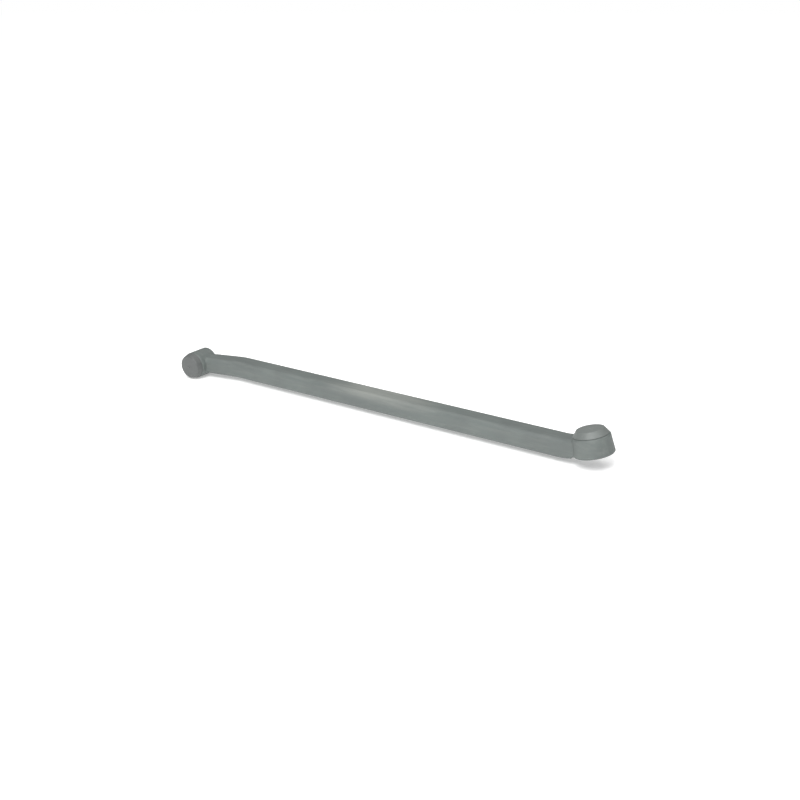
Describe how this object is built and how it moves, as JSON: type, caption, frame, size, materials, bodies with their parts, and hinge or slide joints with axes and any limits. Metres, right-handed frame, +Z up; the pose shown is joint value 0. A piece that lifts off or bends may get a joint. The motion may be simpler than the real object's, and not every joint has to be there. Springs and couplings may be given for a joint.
{
  "type": "cranked swivel stay bar",
  "caption": "Long grey bar cranked at both ends, with a round capped swivel on each end, a quarter turn apart, that bolts on from behind.",
  "frame": {"origin": "bottom centre of the whole object's box", "axes": "+X along the bar to the end whose cap faces up, +Z up, the other cap faces -Y"},
  "size_m": [0.3438, 0.035, 0.0272],
  "materials": {
    "bar_paint": "satin grey-green coating on forged steel",
    "cap_paint": "satin grey coating",
    "bush_bronze": "sintered bronze, oiled",
    "washer_polymer": "natural acetal",
    "seal_rubber": "moulded nitrile rubber",
    "zinc_steel": "turned and zinc plated",
    "washer_steel": "plain steel",
    "spring_steel": "oiled black spring steel"
  },
  "bodies": {
    "bar": {"tie_bar": "bar_paint", "right_outer_bush": "bush_bronze", "right_inner_bush": "bush_bronze", "right_thrust_washer": "washer_polymer", "right_seal_ring": "seal_rubber", "left_outer_bush": "bush_bronze", "left_inner_bush": "bush_bronze", "left_thrust_washer": "washer_polymer", "left_seal_ring": "seal_rubber"},
    "right_swivel": {"right_swivel_sleeve": "zinc_steel", "right_cover_cap": "cap_paint", "right_cap_clip": "spring_steel", "right_backing_washer": "washer_steel", "right_disc_spring": "spring_steel", "right_retaining_ring": "spring_steel"},
    "left_swivel": {"left_swivel_sleeve": "zinc_steel", "left_cover_cap": "cap_paint", "left_cap_clip": "spring_steel", "left_backing_washer": "washer_steel", "left_disc_spring": "spring_steel", "left_retaining_ring": "spring_steel"}
  },
  "joints": [
    {"name": "right_turn", "type": "hinge", "parent": "bar", "child": "right_swivel", "pos_m": [0.15925, 0.00435, 0.00921], "axis": [-0.2419, 0, 0.9703], "continuous": true},
    {"name": "left_turn", "type": "hinge", "parent": "bar", "child": "left_swivel", "pos_m": [-0.16196, 0.0035, 0.0099], "axis": [0, -1, 0], "continuous": true}
  ]
}
